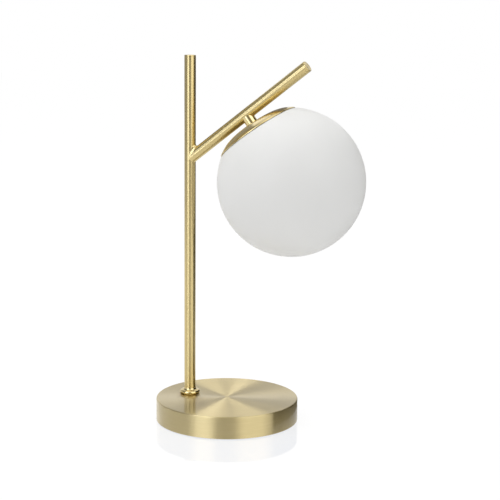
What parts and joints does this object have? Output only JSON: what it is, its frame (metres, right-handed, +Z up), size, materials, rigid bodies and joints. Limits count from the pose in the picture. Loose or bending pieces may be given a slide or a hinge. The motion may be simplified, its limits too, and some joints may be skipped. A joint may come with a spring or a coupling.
{
  "type": "globe table lamp",
  "caption": "Free-standing table lamp: weighted disc base, upright tube, slanted branch and a pull-off opal glass globe under a domed brass cap, with its holder and capsule bulb inside.",
  "frame": {"origin": "centre of the base's underside, on the table", "axes": "+Z up along the upright; +X from the upright towards the globe; +Y towards the rear wall with the cord inlet; the upright, the branch and the globe's axis lie in the XZ plane"},
  "size_m": [0.2202, 0.1531, 0.384],
  "materials": {
    "spun_brass": "satin, brushed in circles",
    "satin_brass": "satin, brushed along the tube",
    "polished_brass": "polished",
    "opal_glass": "satin opal, white all through",
    "foam_pad": "matt foam",
    "grommet_rubber": "matt",
    "zinc_steel": "zinc plated",
    "spring_steel": "tempered",
    "raw_iron": "as cast",
    "block_plastic": "moulded",
    "gasket_silicone": "matt",
    "holder_ceramic": "unglazed",
    "bulb_plastic": "moulded",
    "bulb_glass": "frosted",
    "bulb_metal": "drawn wire",
    "chip_board": "coated with phosphor",
    "brown_insulation": "extruded",
    "blue_insulation": "extruded"
  },
  "bodies": {
    "stand": {"base_pad": "foam_pad", "base_plate": "zinc_steel", "plate_screws": "zinc_steel", "base_weight": "raw_iron", "base_cover": "spun_brass", "cord_grommet": "grommet_rubber", "terminal_block": "block_plastic", "stem_tube": "satin_brass", "stem_cap": "satin_brass", "stem_collar": "polished_brass", "stem_nipple": "zinc_steel", "stem_washer": "zinc_steel", "stem_nut": "zinc_steel", "arm_tube": "satin_brass", "arm_cap": "satin_brass", "neck": "polished_brass", "head_nipple": "zinc_steel", "globe_cap": "polished_brass", "cap_spacer": "zinc_steel", "clip_plate": "zinc_steel", "globe_clips": "spring_steel", "clip_rivets": "zinc_steel", "globe_gasket": "gasket_silicone", "holder_bracket": "zinc_steel", "head_washer": "zinc_steel", "head_nut": "zinc_steel", "lamp_holder": "holder_ceramic", "holder_screws": "zinc_steel", "live_wire": "brown_insulation", "neutral_wire": "blue_insulation"},
    "globe": {"globe": "opal_glass"},
    "bulb": {"bulb_base": "bulb_plastic", "bulb_pins": "bulb_metal", "bulb_envelope": "bulb_glass", "light_column": "chip_board"}
  },
  "joints": [
    {"name": "globe_pull", "type": "slide", "parent": "stand", "child": "globe", "axis": [0.5948, 0, -0.8039], "range_m": [0, 0.12], "deforming": ["globe_clips"]},
    {"name": "bulb_pull", "type": "slide", "parent": "stand", "child": "bulb", "axis": [0.5948, 0, -0.8039], "range_m": [0, 0.012]}
  ]
}
